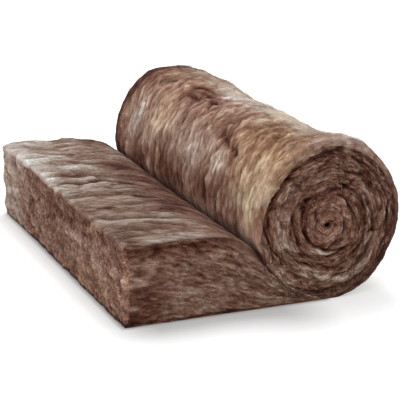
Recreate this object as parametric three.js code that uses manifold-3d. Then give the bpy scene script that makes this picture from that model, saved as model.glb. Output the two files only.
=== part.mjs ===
// A roll of glass-wool loft blanket, partly rolled out on a floor.
// It is one continuous blanket: a free stretch that has recovered to its full thickness, a shoulder where it
// dips under the roll, a wedge that is squeezed thinner and thinner, and the turns, wound tight round an eye.
// The turns part at both ends of the roll, and are pressed into one mass between them. Shallow folds run in
// the wool of the top and round the roll.
// Units are millimetres. X runs along the blanket, from its cut end to the roll, Y across it, and Z up.
// The origin is on the floor, at the middle of the box round the whole object.
import * as THREE from "three";
import { mergeVertices } from "three/addons/utils/BufferGeometryUtils.js";
import Module from "manifold-3d";

const wasm = await Module();
wasm.setup();

// The blanket
const blanketWidth = 1140;
const freeThickness = 230; // at the cut end, where nothing presses on it
const flatLength = 195; // from the cut end to where the top face starts to dip
const shoulderLength = 198; // from there to the nip, where the top face meets the roll
const shoulderSlope = 34; // degrees below level, at the nip
const edgeRound = 8; // the soft corner of every cut edge

// The roll
const rollRadius = 236; // at the start of the winding, straight below the roll's axis
const turnPitch = 35; // one squeezed turn and the joint beside it
const turnJoint = 1.5; // the parting line between one turn and the next
const jointDepth = 12; // how far in from each end the turns are parted
const eyeRadius = 6; // the small hole left in the middle
const eyeDrift = 9; // how far the eye has shifted from the roll's axis, away from the free stretch
const eyeDrop = 16; // how far it has sunk below the axis
const innerEndThickness = 20; // the blanket's inner end, pinched against the eye
const sag = 6; // how far its weight flattens the roll on the floor
const nipArc = 67.5; // degrees of the roll that bed in the blanket, from the nip to the lowest point

// The main folds in the wool, each a long pit that is deepest in its middle
const foldHalfWidth = 19;
const foldDepth = 11;
// The two ends of each fold in the top: distance from the cut end, and from the middle of the width
const topFolds = [
  [[12, 98], [190, 52]],
  [[16, -39], [190, -3]],
  [[70, 322], [195, 345]],
  [[22, -236], [135, -246]],
  [[60, -356], [190, -350]],
  [[55, -447], [195, -462]],
  [[25, 205], [140, 200]],
  [[90, 446], [192, 434]],
  [[20, 520], [120, 512]],
  [[30, -140], [150, -132]],
];
// The two ends of each fold round the roll: the angle wound up to there, and distance from the middle
const rollFolds = [
  [[212, -118], [226, -248]],
  [[225, -238], [230, -378]],
  [[228, -258], [248, -276]],
  [[244, -342], [266, -350]],
  [[256, 388], [280, 382]],
  [[250, 168], [274, 158]],
  [[246, 34], [270, 22]],
  [[252, -118], [276, -124]],
  [[250, 278], [274, 270]],
  [[254, -462], [278, -466]],
  [[186, 196], [206, 168]],
  [[184, 64], [204, 38]],
  [[190, 342], [212, 306]],
  [[192, -38], [212, -72]],
  [[198, 470], [220, 436]],
  [[188, -372], [208, -402]],
  [[222, 128], [242, 92]],
  [[216, 262], [236, 226]],
  [[150, 300], [172, 290]],
  [[144, 106], [166, 100]],
  [[140, -148], [162, -150]],
  [[150, -296], [172, -306]],
  [[146, 436], [168, 428]],
  [[142, -458], [164, -464]],
  [[98, 396], [120, 388]],
  [[102, 204], [124, 196]],
  [[92, 14], [114, 4]],
  [[100, -192], [122, -196]],
  [[90, -414], [112, -420]],
  [[58, 296], [78, 290]],
  [[60, 106], [80, 98]],
  [[56, -104], [76, -110]],
  [[60, -306], [80, -312]],
];

// How finely the form is divided
const facetsPerTurn = 32;
const creaseFacets = 1; // how far the crease at the nip runs in under the roll, 1 or more
const flatDivisions = 3;
const shoulderDivisions = 6;
const edgeDivisions = 3; // across the width and the thickness: two rounded edges and what is between them
const flatness = 0.02; // facets that are level with each other to this are merged

const turn = 2 * Math.PI;
const facet = turn / facetsPerTurn;
const beddedFacets = Math.round(THREE.MathUtils.degToRad(nipArc) / facet);
const windings = (rollRadius - innerEndThickness - eyeRadius) / turnPitch;
const windingFacets = Math.round(windings * facetsPerTurn);

const nipPoint = windingPoint(turn - beddedFacets * facet, turnJoint);
const axisX = flatLength + shoulderLength - nipPoint.x;
const axisZ = rollRadius - sag;

// The outside of the winding, seen from the roll's axis. "wound" is the angle wound up so far: it is 0
// straight below the axis and grows up the side away from the free stretch. "proud" is added to the radius,
// which stops at the eye. The tighter the turn, the further it has settled with the eye.
function windingPoint(wound, proud = 0) {
  const radius = Math.max(eyeRadius, rollRadius - (turnPitch * wound) / turn + proud);
  const settled = 1 - radius / rollRadius;
  return new THREE.Vector2(
    radius * Math.sin(wound) + eyeDrift * settled,
    -radius * Math.cos(wound) - eyeDrop * settled,
  );
}

function inFrame(point) {
  return new THREE.Vector2(axisX + point.x, Math.max(0, axisZ + point.y));
}

// A station is one line across the blanket's length: where its outer face (the floor side) and its inner
// face (the top side) lie there.
function floorStation(top) {
  return { outer: new THREE.Vector2(top.x, 0), inner: top };
}

function freeStations() {
  const stations = [];
  for (const x of [0, edgeRound]) {
    stations.push(floorStation(new THREE.Vector2(x, freeThickness)));
  }
  for (let i = 1; i <= flatDivisions; i++) {
    const x = THREE.MathUtils.lerp(edgeRound, flatLength, i / flatDivisions);
    stations.push(floorStation(new THREE.Vector2(x, freeThickness)));
  }
  return stations;
}

// The top face leaves the flat level, and comes down to the nip at shoulderSlope.
function shoulderStations() {
  const start = new THREE.Vector2(flatLength, freeThickness);
  const end = inFrame(nipPoint);
  const reach = shoulderLength / 2;
  const slope = THREE.MathUtils.degToRad(shoulderSlope);
  const curve = new THREE.CubicBezierCurve(
    start,
    new THREE.Vector2(start.x + reach, start.y),
    new THREE.Vector2(end.x - reach * Math.cos(slope), end.y + reach * Math.sin(slope)),
    end,
  );
  return curve.getPoints(shoulderDivisions).slice(1).map(floorStation);
}

// From the nip to the lowest point the blanket lies between the floor and the roll.
function wedgeStations() {
  const stations = [];
  for (let i = beddedFacets - 1; i > 0; i--) {
    stations.push(floorStation(inFrame(windingPoint(turn - i * facet, turnJoint))));
  }
  return stations;
}

// In the roll each turn reaches in to the outside of the next one, less the joint between them.
function windingStations() {
  const stations = [];
  for (let i = 0; i <= windingFacets; i++) {
    const wound = i * facet;
    stations.push({
      outer: inFrame(windingPoint(wound)),
      inner: inFrame(windingPoint(wound + turn, turnJoint)),
    });
  }
  return stations;
}

function withSharedVertices(geometry) {
  geometry.deleteAttribute("normal");
  geometry.deleteAttribute("uv");
  return mergeVertices(geometry);
}

// Moves a point of a box, whose sizes are in "size", onto the same box with rounded edges.
function roundedBoxPoint(point, size, radius) {
  const low = new THREE.Vector3().addScalar(radius);
  const high = size.clone().subScalar(radius);
  const kernel = point.clone().clamp(low, high);
  const offset = point.clone().sub(kernel);
  return kernel.add(offset.clampLength(0, radius));
}

// The blanket is a box of (length, width, thickness) cells. Each grid line along the length is moved to its
// station, and the grid lines beside the edges to where the rounding starts.
function blanketGeometry(stations) {
  const travel = [0];
  for (let i = 1; i < stations.length; i++) {
    travel.push(travel[i - 1] + stations[i].outer.distanceTo(stations[i - 1].outer));
  }
  const length = travel.at(-1);
  const acrossWidth = [0, edgeRound, blanketWidth - edgeRound, blanketWidth];
  const cells = [stations.length - 1, edgeDivisions, edgeDivisions];
  const geometry = withSharedVertices(new THREE.BoxGeometry(...cells, ...cells));
  const position = geometry.getAttribute("position");
  for (let i = 0; i < position.count; i++) {
    const cell = new THREE.Vector3().fromBufferAttribute(position, i);
    const [along, across, through] = cell.toArray().map((place, axis) => Math.round(place + cells[axis] / 2));
    const { outer, inner } = stations[along];
    const thickness = outer.distanceTo(inner);
    const throughThickness = [0, edgeRound, thickness - edgeRound, thickness];
    const flat = new THREE.Vector3(travel[along], acrossWidth[across], throughThickness[through]);
    const size = new THREE.Vector3(length, blanketWidth, thickness);
    const soft = roundedBoxPoint(flat, size, edgeRound);
    const section = outer.clone().lerp(inner, soft.z / thickness);
    const endShift = along === 0 ? soft.x : 0;
    position.setXYZ(i, section.x + endShift, soft.y, section.y);
  }
  return geometry;
}

// The mass that the turns are pressed into. Its outline runs along the middle of the blanket, once round the
// outermost turn and, for its hole, once round the innermost.
function pressedGeometry(wedge, winding) {
  const pressed = [...wedge.slice(creaseFacets - 1), ...winding];
  const middles = pressed.map(({ outer, inner }) => outer.clone().lerp(inner, 0.5));
  const shape = new THREE.Shape(middles.slice(0, facetsPerTurn + 1));
  shape.holes.push(new THREE.Path(middles.slice(-facetsPerTurn - 1)));
  const depth = blanketWidth - 2 * jointDepth;
  const geometry = new THREE.ExtrudeGeometry(shape, { depth, bevelEnabled: false });
  geometry.rotateX(Math.PI / 2);
  geometry.translate(0, blanketWidth - jointDepth, 0);
  return withSharedVertices(geometry);
}

function solidOf(geometry) {
  const vertProperties = geometry.getAttribute("position").array;
  const triVerts = new Uint32Array(geometry.getIndex().array);
  return new wasm.Manifold(new wasm.Mesh({ numProp: 3, vertProperties, triVerts }));
}

function geometryOf(solid) {
  const { vertProperties, triVerts } = solid.getMesh();
  const geometry = new THREE.BufferGeometry();
  geometry.setAttribute("position", new THREE.BufferAttribute(vertProperties, 3));
  geometry.setIndex(new THREE.BufferAttribute(triVerts, 1));
  return geometry;
}

function placeOnTop([along, across], raise) {
  return new THREE.Vector3(along, blanketWidth / 2 + across, freeThickness + raise);
}

function placeOnRoll([wound, across], raise) {
  const { x, y } = inFrame(windingPoint(THREE.MathUtils.degToRad(wound), raise));
  return new THREE.Vector3(x, blanketWidth / 2 + across, y);
}

// What a fold takes away. Its rim is where "raise", the height above the wool, is 0.
function foldSolid(placeOn, start, end) {
  const middle = start.map((value, axis) => (value + end[axis]) / 2);
  const outward = placeOn(middle, 1).sub(placeOn(middle, 0));
  const sideways = placeOn(end, 0).sub(placeOn(start, 0)).cross(outward).setLength(foldHalfWidth);
  const corners = [placeOn(middle, -foldDepth)];
  for (const raise of [0, foldDepth]) {
    corners.push(placeOn(start, raise), placeOn(end, raise));
    corners.push(placeOn(middle, raise).add(sideways), placeOn(middle, raise).sub(sideways));
  }
  return wasm.Manifold.hull(corners.map((corner) => corner.toArray()));
}

function rollGeometry() {
  const wedge = wedgeStations();
  const winding = windingStations();
  const strip = blanketGeometry([...freeStations(), ...shoulderStations(), ...wedge, ...winding]);
  const whole = solidOf(strip).add(solidOf(pressedGeometry(wedge, winding)));
  const folds = [
    ...topFolds.map(([start, end]) => foldSolid(placeOnTop, start, end)),
    ...rollFolds.map(([start, end]) => foldSolid(placeOnRoll, start, end)),
  ];
  return geometryOf(wasm.Manifold.difference([whole, ...folds]).simplify(flatness));
}

const woolMaterial = new THREE.MeshStandardMaterial({ color: 0x8c6f5c, roughness: 0.95, metalness: 0 });

const blanket = new THREE.Mesh(rollGeometry(), woolMaterial);
blanket.name = "wool_blanket";
const rollReach = windingPoint(turn / 4).x; // about where the roll is widest
blanket.position.set(-(axisX + rollReach) / 2, -blanketWidth / 2, 0);

const loftRoll = new THREE.Group();
loftRoll.add(blanket);

export default loftRoll;
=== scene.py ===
import math

import bpy
import numpy as np
from mathutils.geometry import delaunay_2d_cdt
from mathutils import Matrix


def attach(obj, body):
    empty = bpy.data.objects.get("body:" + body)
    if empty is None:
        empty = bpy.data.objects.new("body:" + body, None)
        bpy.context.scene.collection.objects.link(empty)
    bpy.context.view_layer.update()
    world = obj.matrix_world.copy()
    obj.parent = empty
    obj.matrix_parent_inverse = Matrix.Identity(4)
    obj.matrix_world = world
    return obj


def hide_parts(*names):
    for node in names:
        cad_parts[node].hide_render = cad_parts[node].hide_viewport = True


# A loft blanket of brown glass wool, partly rolled out. One closed skin carries its form, its hollows and the
# turns on its ends, and loose tufts and fibres lie on it. Metres throughout: x along the blanket, y across it
# and z up.

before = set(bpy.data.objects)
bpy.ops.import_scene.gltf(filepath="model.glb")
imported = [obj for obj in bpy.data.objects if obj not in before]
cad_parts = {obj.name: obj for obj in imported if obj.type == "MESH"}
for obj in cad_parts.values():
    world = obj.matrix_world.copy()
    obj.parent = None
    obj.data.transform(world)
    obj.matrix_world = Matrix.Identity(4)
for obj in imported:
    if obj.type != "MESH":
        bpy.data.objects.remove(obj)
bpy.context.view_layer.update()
print("frame loaded")

fullTurn = 2 * math.pi

# the camera
view = {
    "spot": (-1.6381, -4.0756, 1.4418),
    "turn": 22.43,  # degrees from straight along the roll, towards the roll's side
    "dip": 16.35,  # degrees below level
    "lens": 135.8,  # mm, on a 36 mm sensor
}

cameraData = bpy.data.cameras.new("camera")
cameraData.lens = view["lens"]
cameraData.sensor_width = 36
camera = bpy.data.objects.new("camera", cameraData)
camera.location = view["spot"]
camera.rotation_euler = (math.radians(90 - view["dip"]), 0, -math.radians(view["turn"]))
bpy.context.scene.collection.objects.link(camera)
bpy.context.scene.camera = camera

noise = {
    "seed": 4171,
    "gain": 1.6,  # brings it to about -1 to 1
}
dice = np.random.RandomState(noise["seed"])
shuffled = dice.permutation(256)


def unit(vectors):
    return vectors / np.maximum(np.linalg.norm(vectors, axis=-1, keepdims=True), 1e-9)


leanings = unit(dice.normal(size=(256, 3)))


def softNoise(place, seed):
    # smooth, and the same every run
    cell = np.floor(place).astype(int)
    part = place - cell
    ease = part**3 * (part * (part * 6 - 15) + 10)
    total = np.zeros(len(place))
    for corner in range(8):
        step = np.array([corner & 1, corner >> 1 & 1, corner >> 2 & 1])
        pick = seed * 37
        for axis in range(3):
            pick = shuffled[(pick + cell[:, axis] + step[axis]) & 255]
        slope = np.einsum("ij,ij->i", leanings[pick], part - step)
        total += slope * np.prod(np.where(step == 1, ease, 1 - ease), axis=1)
    return total * noise["gain"]


# the patterns in the wool: each one's length along it and width across it in metres, its seed, and how many
# sizes of it are laid over each other
patterns = {
    "swell": (0.24, 0.17, 1, 2),  # broad swellings over the whole skin
    "wave": (0.2, 0.075, 5, 2),  # on the top of the free stretch
    "tuft": (0.1, 0.042, 7, 3),  # on the roll
    "streak": (0.042, 0.012, 9, 2),  # on the roll and the top
    "pleat": (0.3, 0.045, 11, 1),
    "clot": (0.05, 0.03, 13, 3),  # on the cut end
    "tear": (0.05, 0.012, 15, 2),
    "endSwell": (0.15, 0.11, 21, 2),  # on the two ends
    "strata": (0.036, 0.0085, 25, 2),
    "layer": (0.1, 0.02, 27, 3),
    "lump": (0.03, 0.022, 29, 2),
    "groove": (0.08, 1, 33, 2),  # how open the grooves between the turns are
    "grooveWidth": (0.13, 1, 35, 1),
    "ragged": (0.2, 1, 37, 1),
    "hang": (0.16, 1, 39, 2),  # the loose wool that hangs over the side
    "sway": (0.11, 0.07, 60, 2),  # how the streaks wander
    "curl": (0.032, 0.026, 62, 2),
    "rollPatch": (0.05, 0.03, 71, 2),  # how ragged the listed marks are
    "rollHollow": (0.06, 0.04, 72, 2),
    "topCrease": (0.07, 0.3, 73, 2),
    "cutCrack": (0.07, 0.03, 75, 2),
    "arcBreaks": (0.05, 0.02, 77, 2),
    "arcWander": (0.06, 0.03, 79, 2),
    "patches": (0.33, 0.15, 81, 3),  # in the colour
    "blots": (0.06, 0.03, 82, 3),
    "clumps": (0.11, 0.028, 83, 2),
    "runs": (0.16, 0.03, 84, 2),
    "rollGold": (0.3, 0.16, 85, 2),
    "endGold": (0.2, 0.1, 87, 2),
    "cutGold": (0.2, 0.1, 89, 2),
    "swirl": (0.2, 0.15, 91, 2),  # how the strands turn
}


def woolNoise(place, key):
    # place is (along the length, across the width, through the thickness), so streaks follow the fibres
    along, across, seed, octaves = patterns[key]
    size = np.array([along, across, across])
    total = 0
    for octave in range(octaves):
        total = total + softNoise(place / size * 2**octave, seed + octave) / 2**octave
    return total


def ramp(value, start, full):
    # a soft step from 0 to 1; it falls where full is below start
    share = np.clip((value - start) / (full - start), 0, 1)
    return share * share * (3 - 2 * share)


# the blanket's section
blanket = {
    "width": 1.14,
    "thickness": 0.23,  # where nothing presses on it
    "cutEnd": -0.40635,  # where its free end is cut, along x
    "flatLength": 0.195,  # from the cut end to where the top starts to dip
    "shoulderLength": 0.198,  # from there to the nip under the roll
    "shoulderSlope": 34,  # degrees, at the nip
    "rise": (0.016, 0.025),  # how far the loose top stands up again by the nip, at the near and the far end
    "riseFrom": (0.24, 0.35),  # and from where, in metres of travel from the cut end
    "riseStop": 0.03,  # and how far before the nip it dips
    "lowest": 0.003,  # loose fibres stay between these heights
    "highest": 0.468,
    "topRound": 0.008,
    "floorRound": 0.005,
}
roll = {
    "axis": (0.17877, 0.23),
    "radius": 0.236,  # at the start of the winding, straight below the axis
    "pitch": 0.035,  # one turn
    "nipArc": 67.5,  # degrees of the roll that bed in the blanket
    "eyeRadius": 0.006,
    "eyeShift": (0.009, -0.016),  # how far the middle has settled from the axis
    "innerEnd": 0.02,  # the thickness that is pinched at the eye
    "creaseGap": 0.004,  # each side of the dark crease at the nip
    "creaseDepth": 0.03,
}
detail = {
    "ringStep": 0.0078,  # round the section
    "acrossStep": 0.0046,  # across the width, finer because the streaks run the other way
    "floorStep": 0.03,
    "endStep": 0.0046,  # on the two ends
    "stationStep": 0.004,  # along the free stretch
    "shoulderSteps": 400,
}
# how far the edges of the two ends are rounded, from place to place along the section
corners = {
    "floor": 0.004,
    "cutEnd": (0.006, 0.014),  # by the floor and the top, and between them
    "topEdge": 0.005,
    "top": 0.006,
    "nip": 0.003,
    "roll": (0.004, 0.01),  # by the floor and the nip, and round the rest
    "drawnOver": 0.015,  # added where the skin is drawn over the edge, down the side of the free stretch
}

nipArc = math.radians(roll["nipArc"])
nipWound = fullTurn - nipArc
freeWound = -nipArc - 1.0  # stands for the whole free stretch
lastWound = fullTurn * (roll["radius"] - roll["innerEnd"] - roll["eyeRadius"]) / roll["pitch"]
halfWidth = blanket["width"] / 2
lowestTravel = roll["axis"][0] - blanket["cutEnd"]
zoneCodes = {"cut": 0, "edge": 0.5, "top": 1, "roll": 2, "floor": 3, "end": 4}


def windingPoint(wound, proud=0.0):
    # the outside of the winding, from straight below the axis and up the side away from the free stretch
    radius = np.maximum(roll["eyeRadius"], roll["radius"] - roll["pitch"] * wound / fullTurn + proud)
    settled = 1 - radius / roll["radius"]
    x = roll["axis"][0] + radius * np.sin(wound) + roll["eyeShift"][0] * settled
    z = roll["axis"][1] - radius * np.cos(wound) + roll["eyeShift"][1] * settled
    return np.stack([x, np.maximum(z, 0)], -1)


def windingTravel(wound):
    # the length of blanket from the cut end to there
    return lowestTravel + roll["radius"] * wound - roll["pitch"] * wound**2 / (2 * fullTurn)


def travelAt(degrees):
    return windingTravel(np.radians(degrees))


def shoulder(share):
    # the top face where it dips into the nip, a curve with four control points
    slope = math.radians(blanket["shoulderSlope"])
    reach = blanket["shoulderLength"] / 2
    start = np.array([blanket["cutEnd"] + blanket["flatLength"], blanket["thickness"]])
    end = windingPoint(np.array(nipWound), roll["creaseGap"])
    lead = start + [reach, 0]
    fall = end + [-reach * math.cos(slope), reach * math.sin(slope)]
    u = share[:, None]
    return start * (1 - u) ** 3 + 3 * lead * u * (1 - u) ** 2 + 3 * fall * u**2 * (1 - u) + end * u**3


def spread(start, end, step):
    # about evenly spaced values, without the last one
    count = max(1, round(abs(end - start) / step))
    return np.linspace(start, end, count, endpoint=False)


def makeOutline():
    # clockwise as seen from the side: up the cut end, along the top, into the crease, over the roll, and back
    # on the floor
    left, top = blanket["cutEnd"], blanket["thickness"]
    low, high = blanket["floorRound"], blanket["topRound"]
    step = detail["ringStep"]
    rows = []

    def add(x, z, travel, depth, zone, endRound, give):
        # give is how far the skin may be pushed about there
        row = np.broadcast_arrays(x, z, travel, depth, zoneCodes[zone], endRound, give)
        rows.append(np.stack(row))

    angle = np.linspace(0, math.pi / 2, 4, endpoint=False)
    x = left + low * (1 - np.sin(angle))
    z = low * (1 - np.cos(angle))
    add(x, z, x - left, z, "cut", corners["floor"], np.linspace(0, 0.5, 4))
    z = spread(low, top - high, step)
    endRound = np.interp(ramp(z, 0, 0.05) * ramp(z, 0.22, 0.17), [0, 1], corners["cutEnd"])
    add(left, z, 0, z, "cut", endRound, 0.5 + 0.5 * ramp(z, 0, 0.04))
    x = left + high * (1 - np.cos(angle))
    z = top - high * (1 - np.sin(angle))
    add(x, z, x - left, z, "edge", corners["topEdge"], 1)
    x = spread(left + high, left + blanket["flatLength"], step)
    add(x, top, x - left, top, "top", corners["top"], 1)
    curveLength = 1.08 * blanket["shoulderLength"]
    x, z = shoulder(spread(0, 1, step / curveLength)).T
    give = ramp(np.hypot(x - x[-1], z - z[-1]), 0, 0.08)
    add(x, z, x - left, top, "top", np.interp(give, [0, 1], [corners["nip"], corners["top"]]), give)

    inward = np.linspace(0, 1, 4)
    gap = roll["creaseGap"] * (1 - inward)
    wound = nipWound + inward * roll["creaseDepth"] / roll["radius"]
    x, z = windingPoint(wound, gap).T
    add(x, z, x - left, top, "top", corners["nip"], 0)
    x, z = windingPoint(wound, -gap)[-2::-1].T
    add(x, z, windingTravel(wound)[-2::-1], 0, "roll", corners["nip"], 0)

    wound = spread(nipWound, 0, step / roll["radius"])[1:]
    fromNip = (nipWound - wound) * roll["radius"]
    toFloor = wound * roll["radius"]
    x, z = windingPoint(wound, -roll["creaseGap"] * ramp(fromNip, 0.05, 0)).T
    give = ramp(fromNip, 0, 0.08) * ramp(toFloor, 0, 0.16)
    endRound = np.interp(ramp(fromNip, 0, 0.1) * ramp(toFloor, 0, 0.15), [0, 1], corners["roll"])
    drawnOver = ramp(fromNip, 0.03, 0.12) * ramp(np.degrees(wound), 186, 214)
    add(x, z, windingTravel(wound), 0, "roll", endRound + corners["drawnOver"] * drawnOver, give)

    x = spread(roll["axis"][0], left + low, detail["floorStep"])
    add(x, 0, x - left, 0, "floor", corners["floor"], 0)
    return np.concatenate(rows, axis=1)


ringX, ringZ, ringTravel, ringDepth, ringZone, ringRound, ringGive = makeOutline()
ringPoint = np.stack([ringX, ringZ], 1)
ringCount = len(ringPoint)
forward = np.roll(ringPoint, -1, axis=0) - ringPoint
ringGap = np.linalg.norm(forward, axis=1)
forward /= ringGap[:, None]
ringHeading = unit(forward + np.roll(forward, 1, axis=0))
ringOut = np.stack([-ringHeading[:, 1], ringHeading[:, 0]], 1)
# where the outline turns back on itself it faces straight out of the crease
creaseFloor = int(np.argmin(np.einsum("ij,ij->i", forward, np.roll(forward, 1, axis=0))))
ringOut[creaseFloor] = -forward[creaseFloor - 1]
print("outline:", ringCount, "points")

# how far the wool stands out or lies back
relief = {
    "swell": 0.006,  # broad dents and swellings
    "wave": 0.0075,  # the long waves along the top of the free stretch
    "farEdge": 0.009,  # how far the top's far edge stands up by the cut end
    "tuft": 0.006,  # matted tufts on the roll
    "pleat": 0.007,  # where the roll is gathered in towards the nip
    "hollow": 0.003,  # the listed hollows in the roll
    "slack": 0.01,  # how far the roll's crest sags between its ends
    "clot": 0.007,  # the torn wool of the cut end
    "tear": 0.002,  # the fine ridges in it
    "belly": 0.009,  # how far its far end bellies out
    "streak": 0.0022,  # matted strands
    "endSwell": 0.005,
    "strata": 0.0036,  # the layers that show on the two ends
    "groove": 0.011,  # between one turn and the next
    "grooveWidth": 0.0034,
    "ragged": 0.008,  # how far the ends of the turns are out of line
    "hang": 0.009,  # how far the side lies back under the wool that hangs over from the top
    "hangBelow": (0.024, 0.014),  # how far below the top it lies back the most, and over what height
    "lump": 0.003,
    "wander": 0.009,  # how far the turns are from a true spiral
    "sway": (0.016, 0.006),  # how far the streaks wander sideways and through the thickness
    "curl": (0.005, 0.003),  # the same from tuft to tuft
    "lean": 0.075,  # how far the roll's streaks have run off sideways, over its shoulder
    "leanArc": (188, 248),  # where they do, in degrees round it
    "leanRim": (0.56, 0.46),  # and where they run straight again towards its ends
    "topLean": 0.3,  # how far the top's run off the other way, for each metre along it
    "dive": 0.2,  # how far the layers on the sides dive towards the nip, for each metre along them
    "diving": (0.1, 0.4),  # from where to where, in metres from the cut end
}

# the main folds, each a long pit that is deepest in its middle
folds = {
    "halfWidth": 0.019,
    "depth": 0.011,
    # the ends of each in the top: distance from the cut end and from the middle of the width, twice
    "top": [
        (0.012, 0.098, 0.19, 0.052), (0.016, -0.039, 0.19, -0.003), (0.07, 0.322, 0.195, 0.345),
        (0.022, -0.236, 0.135, -0.246), (0.06, -0.356, 0.19, -0.35), (0.055, -0.447, 0.195, -0.462),
        (0.025, 0.205, 0.14, 0.2), (0.09, 0.446, 0.192, 0.434), (0.02, 0.52, 0.12, 0.512),
        (0.03, -0.14, 0.15, -0.132),
    ],
    # and round the roll: degrees round it and distance from the middle of the width, twice
    "roll": [
        (212, -0.118, 226, -0.248), (225, -0.238, 230, -0.378), (228, -0.258, 248, -0.276),
        (244, -0.342, 266, -0.35), (256, 0.388, 280, 0.382), (250, 0.168, 274, 0.158),
        (246, 0.034, 270, 0.022), (252, -0.118, 276, -0.124), (250, 0.278, 274, 0.27),
        (254, -0.462, 278, -0.466), (186, 0.196, 206, 0.168), (184, 0.064, 204, 0.038),
        (190, 0.342, 212, 0.306), (192, -0.038, 212, -0.072), (198, 0.47, 220, 0.436),
        (188, -0.372, 208, -0.402), (222, 0.128, 242, 0.092), (216, 0.262, 236, 0.226),
        (150, 0.3, 172, 0.29), (144, 0.106, 166, 0.1), (140, -0.148, 162, -0.15),
        (150, -0.296, 172, -0.306), (146, 0.436, 168, 0.428), (142, -0.458, 164, -0.464),
        (98, 0.396, 120, 0.388), (102, 0.204, 124, 0.196), (92, 0.014, 114, 0.004),
        (100, -0.192, 122, -0.196), (90, -0.414, 112, -0.42), (58, 0.296, 78, 0.29),
        (60, 0.106, 80, 0.098), (56, -0.104, 76, -0.11), (60, -0.306, 80, -0.312),
    ],
}

# hollows and patches that stand out on the roll: degrees round it, distance along it, their size round and
# along it, how far they sink, how much darker they are, and how much more golden; the darkness of those by
# the nip, from about 265 to 280 degrees, is painted shade
rollMarks = [
    (222, -0.23, 0.05, 0.06, 0.002, 0.1, 0.0),
    (256, -0.35, 0.04, 0.05, 0.0, 0.1, 0.0),
    (266, -0.235, 0.05, 0.05, 0.003, 0.22, 0.0),
    (253, -0.3, 0.05, 0.022, 0.003, 0.24, 0.0),
    (268, -0.4, 0.05, 0.04, 0.004, 0.16, 0.0),
    (264, -0.51, 0.05, 0.04, 0.0, -0.22, 0.4),
    (198, 0.16, 0.04, 0.07, 0.0, 0.1, 0.0),
    (202, 0.247, 0.05, 0.03, 0.0, 0.14, 0.0),
    (187, 0.2, 0.03, 0.08, 0.0, 0.16, 0.0),
    (193, 0.05, 0.03, 0.05, 0.0, 0.12, 0.0),
    (214, 0.08, 0.05, 0.1, 0.0, 0.1, 0.0),
    (213, 0.47, 0.06, 0.05, 0.0, 0.16, 0.0),
    (269, 0.385, 0.07, 0.009, 0.003, 0.3, 0.0),
    (254, 0.43, 0.05, 0.012, -0.003, -0.05, 0.0),
    (276, 0.14, 0.04, 0.14, 0.0, 0.14, 0.0),
    (252, 0.28, 0.06, 0.08, 0.0, -0.12, 0.0),
    (237, -0.08, 0.07, 0.1, -0.003, -0.14, -0.2),
    (230, 0.2, 0.06, 0.08, 0.0, -0.08, 0.35),
    (238, -0.44, 0.07, 0.06, -0.004, -0.16, 0.7),
    (199, -0.44, 0.04, 0.05, 0.0, 0.1, 0.5),
    (218, -0.5, 0.07, 0.06, 0.0, -0.02, 0.6),
    (197, 0.42, 0.05, 0.12, 0.0, 0.08, 0.0),
    (232, 0.42, 0.08, 0.1, 0.0, -0.09, 0.1),
    (200, -0.15, 0.05, 0.12, 0.0, 0.13, 0.1),
    (191, -0.32, 0.05, 0.12, 0.0, 0.16, 0.2),
    (224, -0.38, 0.06, 0.08, 0.0, 0.19, 0.3),
    (210, 0.16, 0.05, 0.1, 0.0, 0.12, 0.0),
    (200, 0.1, 0.035, 0.09, 0.0, 0.1, 0.0),
    (258, -0.18, 0.06, 0.04, 0.002, 0.14, 0.0),
    (193, -0.4, 0.06, 0.08, 0.0, 0.05, 0.2),
    (247, -0.53, 0.1, 0.035, 0.0, -0.22, 0.9),
    (215, -0.54, 0.07, 0.03, 0.0, 0.03, 1.0),
    (212, -0.31, 0.05, 0.07, 0.0, 0.0, 0.5),
    (226, -0.42, 0.09, 0.09, 0.0, -0.02, 0.5),
    (204, -0.4, 0.05, 0.09, 0.0, 0.03, 0.4),
    (228, -0.36, 0.02, 0.03, 0.0, -0.08, 0.3),
    (266, 0.13, 0.035, 0.09, 0.002, 0.15, 0.0),
    (267, 0.26, 0.03, 0.05, 0.002, 0.08, 0.0),
    (259, 0.36, 0.04, 0.06, 0.0, -0.06, 0.0),
    (231, -0.44, 0.05, 0.05, 0.0, 0.07, 0.1),
    (206, -0.33, 0.03, 0.05, 0.0, -0.02, 0.4),
    (272, -0.21, 0.035, 0.1, 0.002, 0.13, 0.0),
    (279, -0.34, 0.03, 0.08, 0.0, 0.1, -0.3),
    (213, -0.53, 0.03, 0.02, 0.0, 0.12, 0.2),
    (228, -0.58, 0.06, 0.012, 0.0, -0.12, 0.6),
    (240, -0.235, 0.055, 0.05, 0.0, -0.24, 0.0),
    (190, 0.4, 0.04, 0.06, 0.002, 0.17, 0.0),
    (219, -0.105, 0.04, 0.045, 0.0, 0.15, 0.1),
    (267, -0.56, 0.045, 0.03, 0.0, 0.14, 0.0),
]
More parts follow.
